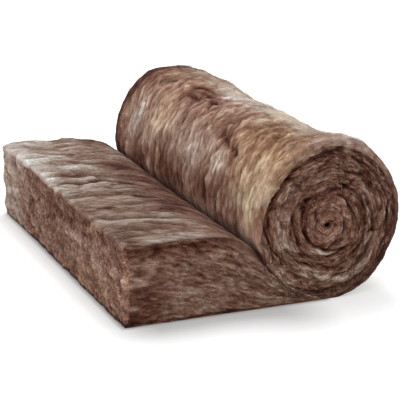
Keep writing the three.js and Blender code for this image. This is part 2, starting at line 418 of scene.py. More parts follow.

# patches on the top, which don't sink: x, y, their two sizes, how much darker they are, and how much more
# golden or, below 0, more mauve; the first is a painted shadow beside the far bottom of the roll
topMarks = [
    (-0.147, 0.2, 0.035, 0.06, 0.2, -1.0),
    (-0.19, 0.43, 0.05, 0.05, 0.12, -0.5),
    (-0.15, -0.28, 0.04, 0.09, 0.14, 0),
    (-0.33, -0.13, 0.05, 0.06, -0.05, 0),
    (-0.28, 0.09, 0.08, 0.09, 0.12, 0),
    (-0.39, -0.55, 0.03, 0.04, 0.14, 0),
    (-0.3, -0.53, 0.09, 0.04, 0.06, 0),
    (-0.31, 0.24, 0.05, 0.05, -0.06, 0),
    (-0.25, -0.37, 0.05, 0.05, 0.06, 0),
    (-0.35, -0.45, 0.05, 0.06, 0.05, 0),
    (-0.19, -0.53, 0.06, 0.035, -0.26, 0),
    (-0.09, -0.54, 0.05, 0.03, -0.12, 0),
    (-0.14, 0.33, 0.03, 0.06, -0.04, 0),
    (-0.388, 0.11, 0.028, 0.07, -0.28, 0),
    (-0.37, 0.47, 0.03, 0.06, -0.14, 0),
    (-0.27, -0.49, 0.06, 0.035, -0.2, 0),
    (-0.15, -0.46, 0.06, 0.05, -0.17, 0),
    (-0.325, -0.095, 0.04, 0.05, 0.2, 0),
    (-0.33, -0.33, 0.04, 0.045, 0.19, 0),
]

# long hollows in the roll: their ends as degrees round it and distance along it, half width, and how much
# painted shade darkens them
rollHollows = [
    ((219, -0.12), (221, -0.2), 0.018, 0.2),
    ((207, -0.136), (220, -0.2), 0.017, 0.2),
    ((219, -0.18), (229, -0.33), 0.022, 0.24),
    ((190, 0.08), (195, 0.22), 0.007, 0.3),
    ((185, 0.03), (190, 0.15), 0.006, 0.3),
    ((199, 0.13), (203, 0.24), 0.008, 0.3),
    ((182, 0.13), (187, 0.26), 0.006, 0.3),
    ((195, 0.03), (199, 0.13), 0.008, 0.3),
    ((187, 0.2), (194, 0.34), 0.007, 0.25),
    ((249, -0.3), (262, -0.33), 0.012, 0.2),
    ((258, -0.21), (272, -0.2), 0.012, 0.2),
    ((252, 0.21), (268, 0.2), 0.009, 0.22),
    ((256, 0.11), (270, 0.1), 0.009, 0.2),
    ((258, 0.02), (272, 0.01), 0.009, 0.16),
]

# creases across the top of the free stretch: where each starts and ends as x and y, its half width and its
# depth
topCreases = [
    ((-0.386, 0.07), (-0.325, 0.036), 0.009, 0.009),
    ((-0.335, 0.036), (-0.262, 0.03), 0.011, 0.012),
    ((-0.272, 0.032), (-0.172, -0.01), 0.01, 0.011),
    ((-0.387, -0.2), (-0.354, -0.235), 0.006, 0.006),
    ((-0.36, -0.235), (-0.31, -0.232), 0.007, 0.008),
    ((-0.3, 0.3), (-0.16, 0.22), 0.008, 0.007),
    ((-0.38, -0.05), (-0.3, -0.03), 0.006, 0.006),
    ((-0.33, -0.41), (-0.18, -0.44), 0.006, 0.006),
    ((-0.36, 0.42), (-0.24, 0.39), 0.009, 0.006),
    ((-0.26, 0.48), (-0.16, 0.45), 0.009, 0.007),
    ((-0.24, -0.3), (-0.14, -0.33), 0.008, 0.006),
    ((-0.25, -0.12), (-0.16, -0.16), 0.008, 0.006),
]

# cracks in the cut end, as y and z
cutCracks = [
    ((-0.478, 0.155), (-0.512, 0.12), 0.004, 0.008),
    ((-0.512, 0.12), (-0.55, 0.08), 0.004, 0.01),
    ((-0.545, 0.075), (-0.562, 0.045), 0.0035, 0.007),
    ((0.34, 0.2), (0.33, 0.14), 0.005, 0.006),
    ((0.36, 0.05), (0.31, 0.02), 0.005, 0.006),
]

# how much fuller the roll is at its two ends, as degrees of travel round it and metres
endFullness = {
    "near": [
        (12, 0.0), (24, 0.006), (38, 0.003), (50, -0.007), (62, -0.005), (78, 0.002), (95, 0.002),
        (112, 0.003), (128, 0.008), (145, 0.017), (160, 0.016), (176, 0.006), (190, 0.0),
    ],
    "far": [(170, 0.0), (182, 0.004), (195, 0.014), (207, 0.012), (219, 0.005), (231, 0.0)],
}

# arcs on the near end of the roll that stand out: their points as degrees round and reach from the axis,
# their half width, how far they sink, and how much darker they are: painted shade where they sink and
# painted light where they stand up
endArcs = [
    ([(166, 0.2), (186, 0.189), (205, 0.182), (222, 0.168)], 0.007, 0.012, 1.3),
    ([(222, 0.168), (242, 0.17), (260, 0.174), (278, 0.174), (295, 0.177), (310, 0.18)], 0.009, 0.014, 1.2),
    ([(250, 0.166), (260, 0.165), (277, 0.156), (297, 0.159)], 0.003, -0.003, -0.7),
    ([(110, 0.124), (134, 0.132)], 0.014, 0.002, 0.9),
    ([(155, 0.187), (139, 0.182), (125, 0.174)], 0.005, 0.01, 1.3),
    ([(112, 0.13), (107, 0.134), (90, 0.145), (74, 0.159)], 0.0055, 0.01, 1.3),
    ([(72, 0.15), (75, 0.183)], 0.003, 0.008, 1.8),
    ([(70, 0.168), (60, 0.176), (47, 0.18), (35, 0.182)], 0.009, -0.003, -1.2),
    ([(136, 0.168), (124, 0.16)], 0.012, 0.004, 0.7),
    ([(344, 0.084), (357, 0.095), (12, 0.103)], 0.0045, -0.003, -1.9),
    ([(330, 0.143), (336, 0.147), (353, 0.158), (8, 0.174), (21, 0.186)], 0.007, -0.003, -1.3),
    ([(257, 0.141), (278, 0.141), (296, 0.141)], 0.009, -0.003, -1.1),
    ([(256, 0.104), (279, 0.096), (307, 0.099)], 0.0045, 0.007, 1.5),
    ([(239, 0.08), (278, 0.068), (320, 0.075), (346, 0.081)], 0.006, 0.008, 1.4),
    ([(225, 0.085), (199, 0.081), (174, 0.087), (147, 0.101), (142, 0.129)], 0.0055, 0.008, 1.6),
    ([(197, 0.058), (231, 0.037), (290, 0.022)], 0.004, 0.006, 1.4),
    ([(125, 0.08), (91, 0.08), (69, 0.083)], 0.0045, 0.006, 1.2),
    ([(103, 0.116), (79, 0.129), (57, 0.139), (37, 0.132)], 0.004, 0.006, 1.2),
    ([(345, 0.078), (15, 0.093), (36, 0.107)], 0.004, 0.006, 1.1),
    ([(351, 0.124), (7, 0.146), (21, 0.154)], 0.004, 0.005, 1.1),
    ([(339, 0.204), (355, 0.205), (10, 0.206), (25, 0.206), (41, 0.202)], 0.005, 0.006, 0.9),
]


def partsOf(zone):
    # which part of the skin each point is on
    return {
        "cut": zone < 0.25,
        "top": np.abs(zone - zoneCodes["top"]) < 0.55,
        "roll": np.abs(zone - zoneCodes["roll"]) < 0.3,
        "end": zone > 3.5,
    }


def combed(place, zone):
    # where the streaks are read from: over its shoulder the roll's run off towards the far end, those of the
    # top run off towards the near one, and the layers on the sides dive towards the nip
    on = partsOf(zone)
    start, end = [travelAt(degrees) for degrees in relief["leanArc"]]
    run = (ramp(place[:, 0], start, end) - 0.5) * relief["lean"]
    run = run * ramp(np.abs(place[:, 1]), *relief["leanRim"]) * on["roll"]
    run = run + relief["topLean"] * place[:, 0] * on["top"]
    start, end = relief["diving"]
    dive = relief["dive"] * (np.clip(place[:, 0], start, end) - start) * on["end"]
    return place + np.stack([run * 0, run, dive], 1)


def waved(place):
    # the same place, pushed sideways a little, so that no streak runs dead straight
    bent = place.copy()
    bent[:, 1:] += sum(woolNoise(place, key)[:, None] * relief[key] for key in ("sway", "curl"))
    return bent


def creased(value):
    # thin valleys with soft banks between them
    return np.abs(value) ** 0.7 * 2 - 1


def toLine(point, start, end):
    # how far each point is from a straight line, and how far along the line it is nearest to it, from 0 to 1
    along = np.array(end) - start
    share = np.clip((point - start) @ along / max(along @ along, 1e-12), 0, 1)
    return np.linalg.norm(point - start - share[:, None] * along, axis=1), share


def toPath(point, path):
    return np.min([toLine(point, start, end)[0] for start, end in zip(path[:-1], path[1:])], axis=0)


def foldsAt(place, zone):
    # how much of the main folds is there, from 0 at their rims to 1 in their middles
    share = np.zeros(len(place))
    for part in ("top", "roll"):
        on = partsOf(zone)[part]
        lines = np.array(folds[part]).reshape(-1, 2, 2)
        if part == "roll":
            lines[..., 0] = travelAt(lines[..., 0])
        for start, end in lines:
            half = np.linalg.norm(end - start) / 2
            along = (end - start) / half / 2
            fromMiddle = place[on, :2] - (start + end) / 2
            far = np.abs(fromMiddle @ along) / half
            far += np.abs(fromMiddle @ [-along[1], along[0]]) / folds["halfWidth"]
            share[on] = np.maximum(share[on], 1 - far)
    return share


def patchesAt(flat, patches, ragged=0):
    # what round patches add there: sink, darkness and gold
    found = np.zeros((3, len(flat)))
    for x, y, sizeAlong, sizeAcross, *amounts in patches:
        far = ((flat[:, 0] - x) / sizeAlong) ** 2 + ((flat[:, 1] - y) / sizeAcross) ** 2
        found += np.array(amounts)[:, None] * np.exp(-far * (1 + ragged))
    return found


def cracksAt(flat, cracks):
    # how deep the listed cracks are there, and how much their banks stand out
    cut = np.zeros(len(flat))
    bank = np.zeros(len(flat))
    for start, end, halfAcross, depth in cracks:
        gap, share = toLine(flat, start, end)
        taper = np.sin(np.pi * np.clip(share, 0.04, 0.96)) ** 0.5 * depth
        cut += np.exp(-((gap / halfAcross) ** 2)) * taper
        bank += np.exp(-((gap / halfAcross / 3.2) ** 2)) * taper
    return cut, bank


# the painted shade in a crease's floor and the painted light on its banks, for each metre of its depth
creaseShade = {"topCrease": (62, 18), "cutCrack": (45, 16)}


def creaseLook(cut, bank, key):
    # its sink, darkness and gold
    floorShade, bankShade = creaseShade[key]
    return np.stack([cut - 0.5 * bank, floorShade * cut - bankShade * bank, cut * 0])


def marksAt(place, zone):
    # what the listed marks add there: sink, darkness and gold
    found = np.zeros((3, len(place)))
    on = partsOf(zone)
    there = place[on["roll"]]
    marks = [(travelAt(turned), *rest) for turned, *rest in rollMarks]
    rollFound = patchesAt(there, marks, 0.7 * woolNoise(there, "rollPatch"))
    flat = there[:, :2] + 0.012 * woolNoise(there, "rollHollow")[:, None]
    for start, end, halfAcross, darkness in rollHollows:
        line = [(travelAt(turned), along) for turned, along in (start, end)]
        cut, bank = cracksAt(flat, [(*line, halfAcross, relief["hollow"])])
        rollFound[0] += 0.5 * cut - 0.15 * bank
        rollFound[1] += darkness / relief["hollow"] * cut
    found[:, on["roll"]] = rollFound
    there = place[on["top"]]
    flat = there[:, :2] + [blanket["cutEnd"], 0]
    flat[:, 1] += 0.012 * woolNoise(there, "topCrease")
    cut, bank = cracksAt(flat, topCreases)
    patches = patchesAt(flat, [(*mark[:4], 0, *mark[4:]) for mark in topMarks])
    found[:, on["top"]] = patches + creaseLook(cut, bank, "topCrease")
    there = place[on["cut"]]
    flat = there[:, 1:] + 0.006 * woolNoise(there, "cutCrack")[:, None]
    cut, bank = cracksAt(flat, cutCracks)
    found[:, on["cut"]] = creaseLook(cut, bank, "cutCrack")
    return found


def arcsAt(flat, place):
    # what the listed arcs add there: sink and darkness
    found = np.zeros((2, len(flat)))
    ragged = np.clip(1 + 0.8 * woolNoise(place, "arcBreaks"), 0.2, 1.4)
    shifted = flat - roll["axis"] + 0.004 * woolNoise(place, "arcWander")[:, None]
    for points, halfAcross, *amounts in endArcs:
        turned, reach = np.array(points).T
        turned = np.radians(turned)
        path = np.stack([reach * np.sin(turned), -reach * np.cos(turned)], 1)
        here = np.exp(-((toPath(shifted, path) / halfAcross) ** 2)) * ragged
        found += np.array(amounts)[:, None] * here
    return found


def skinHeight(place, zone):
    # how far the skin is pushed out there, and the painted light and shade that follow its relief
    push = np.zeros(len(place))
    lift = np.zeros(len(place))
    bent = waved(combed(place, zone))
    streak = woolNoise(bent, "streak")
    x, y = place[:, 0], place[:, 1]
    parts = partsOf(zone)

    on = parts["cut"]
    # torn across, it is matted in flakes about twice as wide as they are high
    flake = bent[on] * [1, 0.5, 1]
    clot = woolNoise(flake, "clot")
    fine = creased(woolNoise(flake, "tear"))
    push[on] = relief["clot"] * clot + relief["tear"] * fine + relief["belly"] * ramp(y[on], 0.25, 0.55)
    lift[on] = clot * 0.8 + fine * 0.5

    on = parts["top"]
    wave = creased(woolNoise(bent[on], "wave")) * (1 - 0.55 * ramp(x[on], 0.16, 0.3))
    push[on] = relief["wave"] * wave + 0.3 * relief["streak"] * streak[on]
    push[on] += relief["farEdge"] * ramp(y[on], 0.4, 0.55) * ramp(x[on], 0.27, 0.19)
    lift[on] = wave * 0.9 + streak[on] * 0.2

    on = zone > 1.5
    x, y = x[on], y[on]
    tuft = creased(woolNoise(bent[on], "tuft"))
    pleat = creased(woolNoise(bent[on], "pleat"))
    gathered = ramp(x, travelAt(236), travelAt(275))
    push[on] = relief["tuft"] * tuft * (1 - 0.5 * gathered) + relief["pleat"] * pleat * gathered
    push[on] *= 1 - 0.6 * ramp(np.abs(y), 0.43, 0.54)
    push[on] += relief["streak"] * streak[on]
    turned = (x - lowestTravel) / roll["radius"]
    near, far = [np.interp(np.degrees(turned), *zip(*endFullness[end])) for end in ("near", "far")]
    push[on] += near * ramp(-y, 0.44, 0.56) + far * ramp(y, 0.3, 0.52)
    crest = ramp(turned, 2.1, 2.5) * ramp(turned, 3.6, 3.2)
    push[on] -= relief["slack"] * crest * ramp(y, -0.5, -0.38) * ramp(y, 0.3, 0.16)
    lift[on] = tuft * 0.7 * (1 - gathered) + pleat * 0.8 * gathered + streak[on] * 0.5

    folded = foldsAt(place, zone)
    push += relief["swell"] * woolNoise(place, "swell")
    push -= marksAt(place, zone)[0] + folds["depth"] * folded
    # the folds take painted shade, darkest along their middles
    return push, lift - 0.3 * folded


def endHeight(place, wound, depthOut, depthIn, flat):
    bent = waved(combed(place, np.full(len(place), zoneCodes["end"])))
    strata = woolNoise(bent, "strata")
    layer = creased(woolNoise(bent, "layer"))
    lump = woolNoise(bent, "lump")
    push = relief["endSwell"] * woolNoise(place, "endSwell")
    push += relief["strata"] * (0.6 * strata + layer) + relief["lump"] * lump
    lift = strata * 0.8 + layer * 0.6 + lump * 0.4
    # the grooves between the turns, here tight and there open, with painted shade in them
    travelOnly = place * [1, 0, 0]
    outer = np.where(wound > nipWound, depthOut, 1.0)
    inner = np.where(wound > -nipArc, depthIn, 1.0)
    unevenness = np.clip(0.35 + 1.9 * woolNoise(travelOnly, "groove"), 0.0, 1.5)
    width = relief["grooveWidth"] * (1 + 0.6 * woolNoise(travelOnly, "grooveWidth"))
    cut = np.exp(-((np.minimum(outer, inner) / width) ** 2)) * unevenness
    push -= relief["groove"] * cut
    lift -= 1.2 * cut
    onRoll = ramp(wound, -nipArc, 0)
    push += onRoll * relief["ragged"] * woolNoise(travelOnly, "ragged")
    nearEnd = onRoll * (place[:, 1] < 0)
    sink, dark = arcsAt(flat, place)
    push -= nearEnd * sink
    lift -= nearEnd * dark
    # loose wool hangs over from the top of the free stretch, and the face below it lies back, with painted
    # shade under the overhang
    middle, reach = relief["hangBelow"]
    below = (blanket["thickness"] - flat[:, 1] - middle) / reach
    onSlab = ramp(wound, -nipArc, -nipArc - 0.6)
    hang = np.clip(0.75 + 1.1 * woolNoise(travelOnly, "hang"), 0.1, 1.5)
    tuck = np.exp(-(below**2)) * onSlab * hang
    push -= relief["hang"] * tuck
    lift -= 1.2 * tuck
    return push, lift


def makeStations():
    # the two ends are a strip of stations, which follows the blanket from its cut end to the eye
    left = blanket["cutEnd"]
    step = detail["stationStep"]
    curve = shoulder(np.linspace(0, 1, detail["shoulderSteps"]))
    flatX = np.arange(left + step, curve[-1, 0], step)
    topZ = np.interp(flatX, curve[:, 0], curve[:, 1])
    wound = np.arange(-nipArc, lastWound + 1.2 * math.pi, math.radians(1))
    onFloor = wound < 0
    outer = windingPoint(np.maximum(wound, 0))
    inner = windingPoint(wound + fullTurn)
    # under the roll the lines through the thickness swing round from upright
    swing = ramp(wound, -nipArc, 0)[onFloor]
    outer[onFloor, 0] = inner[onFloor, 0] * (1 - swing) + roll["axis"][0] * swing
    outer[onFloor, 1] = 0
    travel = np.where(onFloor, outer[:, 0] - left, windingTravel(np.maximum(wound, 0)))
    return {
        "outer": np.concatenate([np.stack([flatX, flatX * 0], 1), outer]),
        "inner": np.concatenate([np.stack([flatX, topZ], 1), inner]),
        "travel": np.concatenate([flatX - left, travel]),
        "wound": np.concatenate([np.full(len(flatX), freeWound), wound]),
    }


stations = makeStations()
stationCount = len(stations["travel"])
middle = (stations["outer"] + stations["inner"]) / 2
stationWalk = np.concatenate([[0], np.cumsum(np.linalg.norm(np.diff(middle, axis=0), axis=1))])


def atStation(index, share):
    # where a line across the blanket is, and what is known there; share runs from 0 at the outer face to 1 at
    # the inner one
    low = np.clip(index.astype(int), 0, stationCount - 2)
    part = (index - low)[:, None]
    outer, inner = [
        stations[face][low] * (1 - part) + stations[face][low + 1] * part for face in ("outer", "inner")
    ]
    travel, wound = [np.interp(index, np.arange(stationCount), stations[key]) for key in ("travel", "wound")]
    thick = np.linalg.norm(inner - outer, axis=1)
    # the layers squeeze together towards the roll
    settled = ramp(wound, 0, math.pi)
    fullDepth = (thick + blanket["thickness"]) / 2 * (1 - settled) + thick * settled
    return {
        "point": outer + (inner - outer) * share[:, None],
        "travel": travel,
        "depth": share * fullDepth,
        "wound": wound,
        "out": share * thick,
        "in": (1 - share) * thick,
    }


def wander(point):
    # pushes points of the roll's end about, so that the turns are not a true spiral
    flat = np.stack([point[:, 0], point[:, 1], point[:, 0] * 0], 1)
    reach = np.linalg.norm(point - roll["axis"], axis=1)
    free = ramp(roll["radius"] - 0.01 - reach, 0, 0.05)
    shift = 0
    for share, size, seed in ((1, 0.075, 51), (0.4, 0.03, 53)):
        shift = shift + share * np.stack([softNoise(flat / size, seed + axis) for axis in (0, 1)], 1)
    return point + relief["wander"] * shift * free[:, None]


def endSurface(index, share, side):
    # points of one end, with how far they stand out; side is -1 or 1
    found = atStation(index, share)
    flat = wander(found["point"])
    place = np.stack([found["travel"], np.full(len(index), side * halfWidth), found["depth"]], 1)
    push, lift = endHeight(place, found["wound"], found["out"], found["in"], flat)
    spot = np.stack([flat[:, 0], side * (halfWidth + push), flat[:, 1]], 1)
    return spot, place, lift


def insideOutline(point, ring):
    # which points are within a closed line, by counting its crossings
    x, z = point[:, 0:1], point[:, 1:2]
    x0, z0 = ring.T
    x1, z1 = np.roll(x0, -1), np.roll(z0, -1)
    straddles = (z0 > z) != (z1 > z)
    with np.errstate(divide="ignore", invalid="ignore"):
        crossing = x < x0 + (z - z0) * (x1 - x0) / (z1 - z0)
    return (straddles & crossing).sum(1) % 2 == 1


# how the points that an end is drawn with keep clear of each other
spacing = {
    "turn": (0, 0.11, 0.26, 0.42, 0.58, 0.74, 0.89),  # across the thickness of each turn
    "wedge": 0.5,  # radians round the roll, up to which the blanket is drawn in even rows
    "face": 0.003,
    "eye": 0.004,
    "edge": 0.0028,
    "least": 0.0024,
}


def makeEndPoints(edge):
    # the stations and shares of the points that an end is drawn with, besides its edge
    step = detail["endStep"]
    index = np.interp(np.arange(0, stationWalk[-1], step), stationWalk, np.arange(stationCount))
    thickAt = np.linalg.norm(stations["inner"] - stations["outer"], axis=1)
    wanted = []
    for k, i in enumerate(index):
        wound, thick = [np.interp(i, np.arange(stationCount), v) for v in (stations["wound"], thickAt)]
        if wound < spacing["wedge"]:
            rows = max(3, round(thick / step))
            shares = (np.arange(rows) + 0.5 * (k % 2)) / rows
            if wound > -nipArc:
                shares = np.append(shares[shares < 1 - spacing["face"] / thick], 1.0)
        elif wound > lastWound - fullTurn:
            shares = spacing["turn"][::2]
        else:
            shares = spacing["turn"][0 if wound > nipWound else 1 :]
        wanted += [(i, share) for share in shares]
    wanted = np.array(wanted)
    point = wander(atStation(*wanted.T)["point"])
    keep = insideOutline(point, edge)
    keep &= np.linalg.norm(point - eyeSpot, axis=1) > roll["eyeRadius"] + spacing["eye"]
    wanted, point = wanted[keep], point[keep]
    keep = toPath(point, np.append(edge, edge[:1], axis=0)) > spacing["edge"]
    wanted, point = wanted[keep], point[keep]
    first = np.unique(np.round(point / spacing["least"]), axis=0, return_index=True)[1]
    return wanted[np.sort(first)]


# the eye, which runs through from end to end
eye = {
    "sides": 14,
    "rows": 8,
    "rim": 0.006,  # how far it is sunk in the ends
    "throat": (0.03, 0.2),  # how deep it narrows, and to what share
    "lift": (-1.2, -2.5),  # the painted shade of its rims and of its hollow inside
    "away": [5, 0, 0],  # its patterns are read from a place of its own
}
eyeAngle = np.arange(eye["sides"]) * fullTurn / eye["sides"]
eyeReach = roll["eyeRadius"] * (1 + 0.3 * np.sin(eyeAngle * 2 + 0.6) + 0.12 * np.sin(eyeAngle * 3))
eyeSpot = roll["axis"] + np.array(roll["eyeShift"]) * (1 - roll["eyeRadius"] / roll["radius"])
eyePoint = eyeSpot + eyeReach[:, None] * np.stack([np.cos(eyeAngle), np.sin(eyeAngle)], 1)

# the edge of each end, drawn in by the soft corner
edgePoint = ringPoint - ringOut * ringRound[:, None]
endPoints = makeEndPoints(edgePoint)
endCount = len(endPoints)
endFlat = wander(atStation(*endPoints.T)["point"])
print("end points:", endCount)

links = []
for first, count in ((0, ringCount), (ringCount, eye["sides"])):
    links += [(first + i, first + (i + 1) % count) for i in range(count)]
net = delaunay_2d_cdt([tuple(p) for p in np.concatenate([edgePoint, eyePoint, endFlat])], links, [], 1, 1e-7)
netOrigin = [min(o) if o else -1 for o in net[3]]
endFaces = np.array([[netOrigin[v] for v in face] for face in net[2]])
endFaces = endFaces[(endFaces >= 0).all(1)]
inEye = ((endFaces >= ringCount) & (endFaces < ringCount + eye["sides"])).all(1)
endFaces = endFaces[~inEye]
print("end faces:", len(endFaces))

# the skin between the ends
acrossCount = round(blanket["width"] / detail["acrossStep"])
cornerAngles = [90, 66, 44, 22]  # the rows round each soft corner
cornerRows = len(cornerAngles)
rowAngle = np.radians(cornerAngles + [0] * (acrossCount + 1) + cornerAngles[::-1])
rowSide = np.concatenate([-np.ones(cornerRows), np.linspace(-1, 1, acrossCount + 1), np.ones(cornerRows)])
rowCount = len(rowSide)
flatReach = halfWidth - ringRound

ringGrid, rowGrid = [grid.ravel() for grid in np.mgrid[:ringCount, :rowCount]]
angle = rowAngle[rowGrid]
side = np.sign(rowSide[rowGrid])
rounding = ringRound[ringGrid]
squareness = np.where(side > 0, 0.5, 1.0)  # the far edge is sharper
inset = rounding * (1 - np.clip(np.cos(angle), 0, 1) ** squareness)
flatAcross = rowSide[rowGrid] * flatReach[ringGrid]
across = flatAcross + side * rounding * np.sin(angle) ** squareness
skinFlat = ringPoint[ringGrid] - ringOut[ringGrid] * inset[:, None]
skinZone = ringZone[ringGrid]
alongCorner = side * rounding * angle * 0.8
skinPlace = np.stack([ringTravel[ringGrid], flatAcross + alongCorner, ringDepth[ringGrid]], 1)
push, lift = skinHeight(skinPlace, skinZone)
# at the upper edge of the cut end, each of its two faces keeps its own relief
sidePush = push.copy()
onEdge = skinZone == zoneCodes["edge"]
sidePush[onEdge] = skinHeight(skinPlace[onEdge], np.zeros(onEdge.sum()))[0]

# near an end, the skin takes up the end's own relief
onRoll = skinZone > 1.5
ringWound = np.interp(-ringTravel, [-windingTravel(nipWound), -lowestTravel], [nipWound, 0])
ringWound[(ringZone < 1.5) | (ringZone == zoneCodes["floor"])] = freeWound
deeper = np.stack([inset * 0, inset * 0, np.where(onRoll, inset, -inset)], 1)
depthIn = np.where(onRoll, roll["pitch"] - inset, 1.0)
endPush, endShading = endHeight(skinPlace + deeper, ringWound[ringGrid], np.ones(len(push)), depthIn, skinFlat)
give = ringGive[ringGrid]
outX = ringOut[ringGrid, 0] * sidePush * give * np.cos(angle)
outY = side * endPush * (0.25 + 0.75 * give) * np.sin(angle)
outZ = ringOut[ringGrid, 1] * push * give * np.cos(angle)
# the loose top stands up again before it dips into the nip
nipTravel = shoulder(np.array([1.0]))[0, 0] - blanket["cutEnd"]
rise = ramp(ringTravel, *blanket["riseFrom"]) * ramp(ringTravel, nipTravel, nipTravel - blanket["riseStop"])
rise *= ringZone == zoneCodes["top"]
outZ += rise[ringGrid] * np.interp(ramp(across, -0.2, 0.5), [0, 1], blanket["rise"])
skinSpot = np.stack([skinFlat[:, 0] + outX, across + outY, np.maximum(skinFlat[:, 1] + outZ, 0)], 1)
skinShading = lift * np.cos(angle) ** 2 + endShading * np.sin(angle) ** 2
skinSpots = skinSpot.reshape(ringCount, rowCount, 3)
print("skin:", ringCount, "x", rowCount)

spots = [skinSpot]
places = [skinPlace]
reliefShadings = [skinShading]
corner = (np.arange(ringCount)[:, None] * rowCount + np.arange(rowCount - 1)).ravel()
nextCorner = (corner + rowCount) % len(skinSpot)
faces = np.stack([corner, nextCorner, nextCorner + 1, corner + 1], 1).tolist()
total = len(skinSpot)
rims = []
for side in (-1, 1):
    spot, place, endShadings = endSurface(*endPoints.T, side)
    rim = np.insert(eyePoint, 1, side * (halfWidth - eye["rim"]), axis=1)
    edgeRow = np.arange(ringCount) * rowCount + (0 if side < 0 else rowCount - 1)
    lookup = np.append(edgeRow, total + np.arange(eye["sides"] + endCount))
    faces += lookup[endFaces][:, ::-side].tolist()
    rims.append(total)
    spots += [rim, spot]
    places += [rim * [0, 1, 0] + eye["away"], place]
    reliefShadings += [np.full(eye["sides"], eye["lift"][0]), endShadings]
    total += eye["sides"] + endCount

throatDepth, throatShare = eye["throat"]
throat = eyeSpot + (eyePoint - eyeSpot) * throatShare
throatRows = np.linspace(-1, 1, eye["rows"] + 2)[1:-1] * (halfWidth - throatDepth)
tube = np.array([(x, y, z) for x, z in throat for y in throatRows])
lines = []
for i in range(eye["sides"]):
    lines.append([rims[0] + i, *range(total + i * eye["rows"], total + (i + 1) * eye["rows"]), rims[1] + i])
for a, b in zip(lines, lines[1:] + lines[:1]):
    faces += zip(a[:-1], a[1:], b[1:], b[:-1])

spots = np.concatenate(spots + [tube])
places = np.concatenate(places + [tube * [0, 1, 0] + eye["away"]])
reliefShadings = np.concatenate(reliefShadings + [np.full(len(tube), eye["lift"][1])])
bodyZones = np.append(skinZone, np.full(len(spots) - len(skinSpot), zoneCodes["end"]))

# how light and what colour the wool is, for each zone in the order of zoneCodes, and the tints that steps
# and noises lay over it
shades = {
    "tone": [0.535, 0.57, 0.535, 0.61, 0.4, 0.51],
    "red": [1.1, 0.99, 0.94, 0.985, 1.0, 1.02],
    "green": [0.95, 0.98, 0.995, 0.98, 0.95, 0.935],
    "blue": [0.87, 0.98, 1.02, 0.99, 0.9, 0.88],
    "grain": [1.5, 0.88, 0.94, 0.76, 0.5, 1.3],  # how strongly its fibres show
    "crumple": [0.9, 0.7, 0.85, 0.6, 0.5, 0.65],  # how far they are crumpled instead of combed
}
tints = {
    "gold": (1.05, 0.97, 0.76),  # where the binder has yellowed the wool
    "mauve": (0.98, 0.88, 0.93),
    "russet": (1.045, 0.945, 0.905),
    "ash": (0.93, 1.02, 1.06),
}
# how golden each part is to start with, how blotchy that is, the most that it gets and how much it shows
yellowing = {"roll": (0.27, 0.5, 1.1, 1), "end": (0, 1, 1, 0.5), "cut": (0.2, 1, 1, 0.6)}
# A bound is a measure, with the values where its soft step starts and where it is full. "wound" is in radians
# round the roll, from straight below its axis and up the side away from the free stretch.
nearNip = ("wound", 4.45, 4.75)
nearEndParts = {
    "outerTurns": [("wound", 0.2, 0.6), ("wound", 11, 9)],
    "lip": [("drawn", 0.03, 0.024), ("wound", 3.1, 3.5), ("wound", 4.7, 4.4)],  # where the skin is drawn over
}
